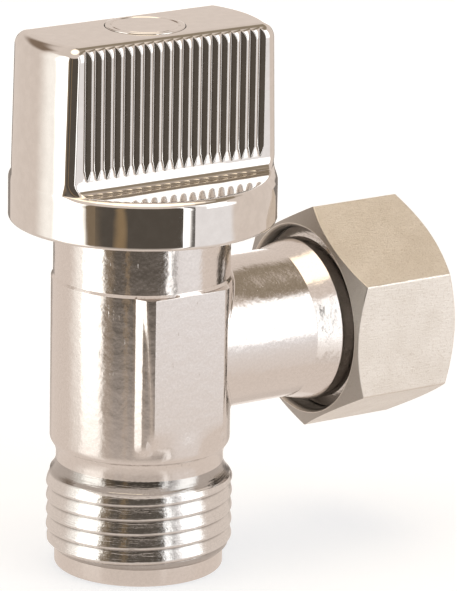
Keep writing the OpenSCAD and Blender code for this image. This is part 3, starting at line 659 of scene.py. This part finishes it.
def ledge_edges():
    """For each column, where the cove meets the ledge and where the ledge meets the skirt's rim. Along the grip
    face the cove ends on a straight line and the rim starts on a circle; at the paddle's ends both fall on
    its foot, and at the corners they pass evenly from one to the other."""
    kind = paddle_kinds()
    on_grip, on_end = (kind == 0)[:, None], (kind == 1)[:, None]
    foot = np.concatenate(paddle_plan([PADDLE_R], [FACE_Y], [CORNER_R], [0])).T
    sign = np.sign(foot + 1e-12)
    across = np.abs(foot[:, 0])
    squeezed = np.minimum(across, SQUEEZE_FROM) + np.maximum(across - SQUEEZE_FROM, 0) * SQUEEZE
    on_face = np.stack([squeezed, np.full(len(kind), FACE_Y + COVE_R)], axis=-1)
    face_end = np.array([COVE_FACE_END, FACE_Y + COVE_R])
    end_start = foot[np.argmax(kind == 1)] * [1, -1]
    on_corner = face_end + (end_start - face_end) * kind[:, None]
    cove_end = np.where(on_end, foot, np.where(on_grip, on_face, on_corner) * sign)
    rim_y = sign[:, 1] * np.sqrt(np.maximum((SKIRT_R - RIM_R) ** 2 - cove_end[:, 0] ** 2, 0))
    rim_start = np.stack([cove_end[:, 0], rim_y], axis=-1)
    return cove_end, np.where(on_grip, rim_start, cove_end)


def raised(flat, z):
    """Rows of points in plan, with their heights added."""
    return np.concatenate([flat, np.broadcast_to(z, (*flat.shape[:2], 1))], axis=-1)


def knob():
    """Paddle knob as one closed surface. Columns follow the paddle's plan; rows run down from the cap's recess
    over the top edge, the grip face, the cove, the ledge and the skirt, and up inside to the recess."""
    paddle = paddle_wall()
    kind = paddle_kinds()
    cove_end, rim_start = ledge_edges()
    swing = np.linspace(0, QUARTER, 7)[1:, None]
    share = (1 - kind) * (1 - np.cos(swing)) + kind * np.sin(swing)
    start = paddle[-1, :, :2]
    cove_z = LEDGE_Z + COVE_R * (1 - np.sin(swing))
    cove = raised(start + (cove_end - start) * share[:, :, None], cove_z[:, :, None])
    ledge = raised(cove_end + (rim_start - cove_end) * LEDGE_SHARES[:, None, None], LEDGE_Z)

    angle = np.arctan2(rim_start[:, 1], rim_start[:, 0])
    rim_r = np.hypot(rim_start[:, 0], rim_start[:, 1])
    swing = np.linspace(0, QUARTER, 9)[1:, None]
    rim_z = LEDGE_Z - RIM_R * (1 - np.cos(swing))
    rim = about_z(rim_r + (SKIRT_R - rim_r) * np.sin(swing), angle, rim_z)
    low = rounded([[SKIRT_R, LEDGE_Z - RIM_R - 0.04], [SKIRT_R, SKIRT_Z], [SKIRT_IN_R, SKIRT_Z],
                   [SKIRT_IN_R, CEILING_Z], [INSERT_HOLE_R, CEILING_Z], [INSERT_HOLE_R, WEB_Z],
                   [SCREW_HOLE_R, WEB_Z], [SCREW_HOLE_R, WEB_TOP], [HEAD_BORE_R, WEB_TOP],
                   [HEAD_BORE_R, CAP_RECESS_Z], [CAP_RECESS_R, CAP_RECESS_Z], [CAP_RECESS_R, KNOB_TOP]],
                  [0, LIP_R, 0.15, 0.2, 0.1, 0.05, 0.05, 0.05, 0.05, 0.05, 0.03, 0], closed=False)
    top_angle = np.arctan2(paddle[0, :, 1], paddle[0, :, 0])
    in_bore = (low[:, 1:] > CEILING_Z + 0.2) & (low[:, :1] < SKIRT_IN_R - 1)
    skirt = about_z(low[:, :1], np.where(in_bore, top_angle, angle), low[:, 1:])
    lip = about_z(CAP_RECESS_R + np.array([[0.02], [0.04]]), top_angle, KNOB_TOP)
    return shell(np.concatenate([paddle, cove, ledge, rim, skirt, lip]))


def cap():
    """Push-in cap over the knob's screw: an outline turned round the axis, with a shallow dished top inside a
    fine ring groove. The outline starts and ends on the axis, and its poles are merged."""
    angle = np.linspace(0, FULL_TURN, 97)[:-1]
    ring_in, ring, ring_out = CAP_RING
    plug_r = HEAD_BORE_R - CAP_PLUG_GAP
    outline = rounded([[0, CAP_TOP - 0.05], [ring_in, CAP_TOP - 0.02], [ring, CAP_TOP - 0.1],
                       [ring_out, CAP_TOP], [CAP_R, CAP_TOP], [CAP_R, CAP_Z], [plug_r, CAP_Z],
                       [plug_r, CAP_PLUG_Z], [0, CAP_PLUG_Z]],
                      [0, 0.03, 0.03, 0.03, 0.1, 0.05, 0.05, 0.1, 0], steps=4, brace=0.01, closed=False)
    return shell(about_z(outline[:, :1], angle, outline[:, 1:]), wrap_rows=False)


# Node trees


class Value:
    """One socket of a node tree. Arithmetic on values adds Math nodes."""

    def __init__(self, tree, socket):
        self.tree = tree
        self.socket = socket

    def math(self, operation, *inputs):
        return self.tree.node("ShaderNodeMath", {"operation": operation}, dict(enumerate(inputs)))

    def __add__(self, other):
        return self.math("ADD", self, other)

    def __sub__(self, other):
        return self.math("SUBTRACT", self, other)

    def __rsub__(self, other):
        return self.math("SUBTRACT", other, self)

    def __mul__(self, other):
        return self.math("MULTIPLY", self, other)

    __radd__ = __add__

    def step(self, low, high):
        """Soft step from 0 at low to 1 at high."""
        return self.tree.node("ShaderNodeMapRange", {"interpolation_type": "SMOOTHSTEP"},
                              {"Value": self, "From Min": low, "From Max": high})


class Tree:
    """The node tree of one material or of the world."""

    def __init__(self, holder):
        holder.use_nodes = True
        self.nodes = holder.node_tree.nodes
        self.links = holder.node_tree.links
        self.nodes.clear()

    def node(self, kind, settings=None, inputs=None, output=0):
        """Adds a node of one kind, with its settings first, then its sockets' values or links."""
        node = self.nodes.new(kind)
        for name, value in (settings or {}).items():
            setattr(node, name, value)
        for name, value in (inputs or {}).items():
            if isinstance(value, Value):
                self.links.new(value.socket, node.inputs[name])
            else:
                node.inputs[name].default_value = value
        return Value(self, node.outputs[output]) if node.outputs else node

    def mix(self, share, first, second):
        """Colour between two colours."""
        return self.node("ShaderNodeMix", {"data_type": "RGBA"}, {0: share, 6: first, 7: second}, output=2)

    def place(self):
        """Position on the piece in millimetres."""
        position = self.node("ShaderNodeTexCoord", output=3)
        return self.node("ShaderNodeVectorMath", {"operation": "SCALE"},
                         {"Vector": position, "Scale": 1 / MM})

    def stretched(self, position, scale):
        """Position with each axis scaled by its own number."""
        return self.node("ShaderNodeMapping", None, {"Vector": position, "Scale": scale})

    def noise(self, position, scale, detail=2.0, roughness=0.5):
        """Cloudy noise, so many lumps to the millimetre."""
        return self.node("ShaderNodeTexNoise", None,
                         {"Vector": position, "Scale": scale, "Detail": detail, "Roughness": roughness})

    def bump(self, height, strength, distance):
        """Normal that follows a height given in millimetres times the distance."""
        return self.node("ShaderNodeBump", None,
                         {"Height": height, "Strength": strength, "Distance": distance * MM})

    def surface(self, **inputs):
        """Principled shader with the given sockets, as the tree's output."""
        named = {name.replace("_", " "): value for name, value in inputs.items()}
        shader = self.node("ShaderNodeBsdfPrincipled", None, named)
        self.output(shader)

    def output(self, shader, kind="ShaderNodeOutputMaterial"):
        self.node(kind, None, {"Surface": shader})


def colour(red, green, blue):
    return (red, green, blue, 1.0)


# Finishes


def body_chrome():
    """Bright plate over a forged blank: soft orange peel, fine grain and a few scratches."""
    material = bpy.data.materials.new("body_chrome")
    tree = Tree(material)
    place = tree.place()
    peel = tree.noise(place, 0.9, 2.0)
    grain = tree.noise(place, 4.5, 3.0, 0.6)
    scratch = tree.noise(tree.stretched(place, (4.0, 4.0, 0.5)), 1.3, 2.0).step(0.72, 0.8)
    height = peel * 0.6 + grain * 0.1 - scratch * 0.2
    tone = tree.mix(grain.step(0.3, 0.75), colour(0.76, 0.72, 0.69), colour(0.82, 0.78, 0.75))
    tone = tree.mix(scratch * 0.4, tone, colour(0.45, 0.40, 0.36))
    rough = 0.12 + grain.step(0.35, 0.8) * 0.08 + scratch * 0.1
    tree.surface(Base_Color=tone, Metallic=1.0, Roughness=rough, Normal=tree.bump(height, 1.0, 0.05))
    return material


def thread_chrome():
    """The same plate on the cut threads, with fine tool marks round the turns, and painted shade that darkens
    the roots.
    """
    material = bpy.data.materials.new("thread_chrome")
    tree = Tree(material)
    place = tree.place()
    marks = tree.noise(tree.stretched(place, (0.5, 0.5, 9.0)), 1.0, 2.0)
    grain = tree.noise(place, 4.0, 3.0, 0.6)
    flat = tree.node("ShaderNodeVectorMath", {"operation": "MULTIPLY"}, {0: place, 1: (1, 1, 0)})
    radius = tree.node("ShaderNodeVectorMath", {"operation": "LENGTH"}, {0: flat}, output=1)
    # Painted shade: the roots, inside the foot of the inlet's ridge, are darkened towards dark brown as if
    # shadowed.
    root = 1 - radius.step(WORN_ROOT_R - 0.02, WORN_ROOT_R + 0.08)
    tone = tree.mix(grain.step(0.3, 0.75), colour(0.74, 0.72, 0.70), colour(0.83, 0.81, 0.79))
    tone = tree.mix(root * 0.6, tone, colour(0.3, 0.28, 0.26))
    rough = 0.1 + grain.step(0.3, 0.8) * 0.1
    tree.surface(Base_Color=tone, Metallic=1.0, Roughness=rough,
                 Normal=tree.bump(marks + grain * 0.5, 1.0, 0.02))
    return material


def knob_chrome(name="knob_chrome"):
    """Bright plate on a moulded knob: nearly a mirror, with a long soft wave and faint handling marks."""
    material = bpy.data.materials.new(name)
    tree = Tree(material)
    place = tree.place()
    wave = tree.noise(place, 0.22, 1.0)
    smear = tree.noise(place, 1.1, 3.0, 0.6)
    haze = tree.noise(tree.stretched(place, (1.0, 1.0, 4.0)), 1.7, 2.0).step(0.55, 0.8)
    tone = tree.mix(smear.step(0.3, 0.75), colour(0.77, 0.74, 0.71), colour(0.82, 0.79, 0.76))
    rough = 0.04 + smear.step(0.4, 0.8) * 0.03 + haze * 0.03
    tree.surface(Base_Color=tone, Metallic=1.0, Roughness=rough, Normal=tree.bump(wave, 1.0, 0.05))
    return material


def satin_nickel():
    """Nickel plate over a sawn and milled hexagon bar: fine grain along the bar, warm, half dull.
    The turned cone round the mouth and the bore behind it are darkened with painted shade."""
    material = bpy.data.materials.new("nut_nickel")
    tree = Tree(material)
    place = tree.place()
    grain = tree.noise(tree.stretched(place, (0.9, 7.0, 7.0)), 1.4, 3.0, 0.65)
    speck = tree.noise(place, 6.0, 2.0)
    cloud = tree.noise(place, 0.35, 2.0)
    along = tree.node("ShaderNodeSeparateXYZ", None, {0: place})
    spoke = tree.node("ShaderNodeVectorMath", {"operation": "MULTIPLY_ADD"},
                      {0: place, 1: (0, 1, 1), 2: (0, 0, -BRANCH_Z)})
    radius = tree.node("ShaderNodeVectorMath", {"operation": "LENGTH"}, {0: spoke}, output=1)
    # Painted shade: the bore's first few millimetres behind the mouth go nearly black, as if in shadow.
    bore = (1 - radius.step(NUT_ROOT_R + 0.05, NUT_ROOT_R + 0.2)) * (1 - along.step(NUT_X + 3, NUT_X + 4))
    # Painted shade: the turned cone at the mouth end is darkened as if shadowed.
    past_cone = along - NUT_X - (radius - NUT_FACE_R) * NUT_CHAMFER
    cone = (1 - past_cone.step(0.03, 0.08)) * radius.step(NUT_FACE_R - 0.05, NUT_FACE_R + 0.05)
    tone = tree.mix(cloud.step(0.3, 0.7), colour(0.80, 0.75, 0.68), colour(0.86, 0.815, 0.75))
    tone = tree.mix(speck.step(0.52, 0.72) * 0.4, tone, colour(0.58, 0.51, 0.43))
    # Painted shade laid over the nickel's tone, on the cone and in the bore.
    tone = tree.mix(cone * 0.65, tone, colour(0.26, 0.24, 0.22))
    tone = tree.mix(bore * 0.8, tone, colour(0.12, 0.11, 0.1))
    rough = 0.3 + grain.step(0.3, 0.8) * 0.14
    tree.surface(Base_Color=tone, Metallic=1.0, Roughness=rough,
                 Normal=tree.bump(grain + speck * 0.4, 1.0, 0.02))
    return material


def turned_metal(name, dark, light, rough):
    """Turned or pressed metal of the inner pieces: fine rings, a little colour from piece to piece."""
    material = bpy.data.materials.new(name)
    tree = Tree(material)
    place = tree.place()
    rings = tree.noise(tree.stretched(place, (0.6, 0.6, 8.0)), 1.5, 2.0)
    cloud = tree.noise(place, 0.8, 3.0)
    tone = tree.mix(cloud.step(0.3, 0.7), colour(*dark), colour(*light))
    tree.surface(Base_Color=tone, Metallic=1.0, Roughness=rough + rings.step(0.3, 0.8) * 0.12,
                 Normal=tree.bump(rings, 1.0, 0.015))
    return material


def moulded(name, dark, light, rough, grain_scale):
    """Rubber, plastic or ceramic: a fine even grain with slight changes of tone and gloss."""
    material = bpy.data.materials.new(name)
    tree = Tree(material)
    place = tree.place()
    grain = tree.noise(place, grain_scale, 3.0, 0.6)
    cloud = tree.noise(place, 0.7, 2.0)
    tone = tree.mix(cloud.step(0.3, 0.7), colour(*dark), colour(*light))
    tree.surface(Base_Color=tone, Roughness=rough + grain.step(0.3, 0.8) * 0.1,
                 Normal=tree.bump(grain, 1.0, 0.01))
    return material


# Studio


def studio_world():
    """White studio. Directions are measured from the photograph's camera: sideways positive to its right, and
    upwards. Soft panels and dark screens stand round the table; the camera itself sees plain white."""
    world = bpy.data.worlds.new("studio")
    bpy.context.scene.world = world
    tree = Tree(world)
    direction = tree.node("ShaderNodeTexCoord", output=0)
    right = (math.cos(VIEW_AZIMUTH), math.sin(VIEW_AZIMUTH), 0)
    front = (math.sin(VIEW_AZIMUTH), -math.cos(VIEW_AZIMUTH), 0)

    def along(axis):
        return tree.node("ShaderNodeVectorMath", {"operation": "DOT_PRODUCT"},
                         {0: direction, 1: axis}, output=1)

    rise = along((0, 0, 1))
    across = along(right)
    sideways = across.math("ARCTAN2", across, along(front)) * math.degrees(1)
    upward = rise.math("ARCSINE", rise) * math.degrees(1)

    def band(value, low, high, soft):
        return value.step(low - soft / 2, low + soft / 2) * (1 - value.step(high - soft / 2, high + soft / 2))

    light = colour(*ROOM)
    for low, high, bottom, top, soft, soft_up, glow in STUDIO:
        mask = band(sideways, low, high, soft) * band(upward, bottom, top, soft_up)
        light = tree.mix(mask, light, colour(*glow))
    seen = tree.node("ShaderNodeLightPath", output=0)
    room = tree.node("ShaderNodeBackground", None, {"Color": light, "Strength": 1.0})
    white = tree.node("ShaderNodeBackground", None, {"Color": colour(1, 1, 1), "Strength": 1.0})
    tree.output(tree.node("ShaderNodeMixShader", None, {0: seen, 1: room, 2: white}), "ShaderNodeOutputWorld")


def studio_floor():
    """Pale table. Metal sees it fade into the studio away from the foot, and the camera sees it go on."""
    size = FLOOR_HALF * MM
    corners = [(-size, -size, 0), (size, -size, 0), (size, size, 0), (-size, size, 0)]
    mesh = bpy.data.meshes.new("floor")
    mesh.from_pydata(corners, [], [(0, 1, 2, 3)])
    floor = bpy.data.objects.new("floor", mesh)
    bpy.context.scene.collection.objects.link(floor)
    material = bpy.data.materials.new("floor")
    tree = Tree(material)
    distance = tree.node("ShaderNodeVectorMath", {"operation": "LENGTH"}, {0: tree.place()}, output=1)
    glossy = tree.node("ShaderNodeLightPath", output=3)
    matt = tree.node("ShaderNodeBsdfDiffuse", None, {"Color": colour(*FLOOR_TONE)})
    glow = tree.node("ShaderNodeEmission", None, {"Color": colour(*FLOOR_GLOW), "Strength": 1.0})
    solid = tree.node("ShaderNodeAddShader", None, {0: matt, 1: glow})
    warm = tree.node("ShaderNodeEmission", None, {"Color": colour(*ROOM), "Strength": 1.0})
    clear = tree.node("ShaderNodeBsdfTransparent")
    away = distance.step(*TABLE_FADE)
    mirrored = tree.node("ShaderNodeMixShader", None, {0: away, 1: warm, 2: clear})
    tree.output(tree.node("ShaderNodeMixShader", None, {0: glossy, 1: solid, 2: mirrored}))
    mesh.materials.append(material)


def photo_camera():
    """Camera at the photograph's place, turned about its own axis by the roll. The shift is the distance of
    the picture's centre from the lens axis, over the picture's longer side."""
    level = math.cos(VIEW_ELEVATION)
    back = Vector((math.sin(VIEW_AZIMUTH) * level, -math.cos(VIEW_AZIMUTH) * level, math.sin(VIEW_ELEVATION)))
    right = Vector((math.cos(VIEW_AZIMUTH), math.sin(VIEW_AZIMUTH), 0))
    up = back.cross(right)
    turn = Matrix((right, up, back)).transposed().to_4x4() @ Matrix.Rotation(VIEW_ROLL, 4, "Z")
    data = bpy.data.cameras.new("camera")
    data.sensor_width = SENSOR
    data.lens = FOCAL_PIXELS / max(PICTURE) * SENSOR
    data.shift_x = (PICTURE[0] / 2 - PICTURE_CENTRE[0]) / max(PICTURE)
    data.shift_y = (PICTURE_CENTRE[1] - PICTURE[1] / 2) / max(PICTURE)
    data.clip_start = 0.01
    camera = bpy.data.objects.new("camera", data)
    camera.matrix_world = Matrix.Translation((Vector(VIEW_TARGET) + back * VIEW_DISTANCE) * MM) @ turn
    bpy.context.scene.collection.objects.link(camera)
    bpy.context.scene.camera = camera


def dress_inside():
    """Finishes for the inner pieces, which keep their CAD shapes."""
    brass = turned_metal("bare_brass", (0.62, 0.43, 0.17), (0.75, 0.57, 0.28), 0.2)
    steel = turned_metal("steel", (0.5, 0.5, 0.51), (0.62, 0.62, 0.63), 0.18)
    rubber = moulded("rubber", (0.018, 0.018, 0.019), (0.035, 0.034, 0.034), 0.55, 6.0)
    ceramic = moulded("disc_ceramic", (0.8, 0.79, 0.76), (0.88, 0.87, 0.84), 0.15, 8.0)
    dark = moulded("dark_plastic", (0.045, 0.045, 0.05), (0.07, 0.07, 0.08), 0.4, 5.0)
    pale = moulded("pale_plastic", (0.72, 0.7, 0.61), (0.82, 0.8, 0.72), 0.4, 5.0)
    finishes = {
        brass: ("headwork_housing", "spindle", "knob_insert", "olive"),
        steel: ("seal_support", "spindle_clip", "knob_screw", "screw_washer"),
        rubber: ("housing_o_ring", "seat_seal", "spindle_o_rings"),
        ceramic: ("fixed_disc", "moving_disc"),
        dark: ("disc_carrier",),
        pale: ("thrust_washer", "slip_washer"),
    }
    for finish, names in finishes.items():
        for name in names:
            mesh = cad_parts[name].data
            mesh.materials.clear()
            mesh.materials.append(finish)


def main():
    bpy.context.scene.view_settings.view_transform = "Standard"
    photo_camera()
    studio_world()
    studio_floor()
    body, cut = body_chrome(), thread_chrome()
    piece("body_barrel", [barrel()], body, "valve", ["valve_body"])
    piece("outlet_branch", [branch()], body, "valve")
    piece("inlet_thread", [inlet_thread()], cut, "valve")
    piece("outlet_thread", [outlet_thread()], cut, "valve")
    nickel = satin_nickel()
    piece("hexagon_nut", [nut(), nut_thread()], nickel, "nut", ["compression_nut"])
    piece("paddle_knob", [knob()], knob_chrome(), "handle", ["knob"])
    piece("top_cap", [cap()], knob_chrome("cap_chrome"), "handle", ["knob_cap"])
    dress_inside()


main()
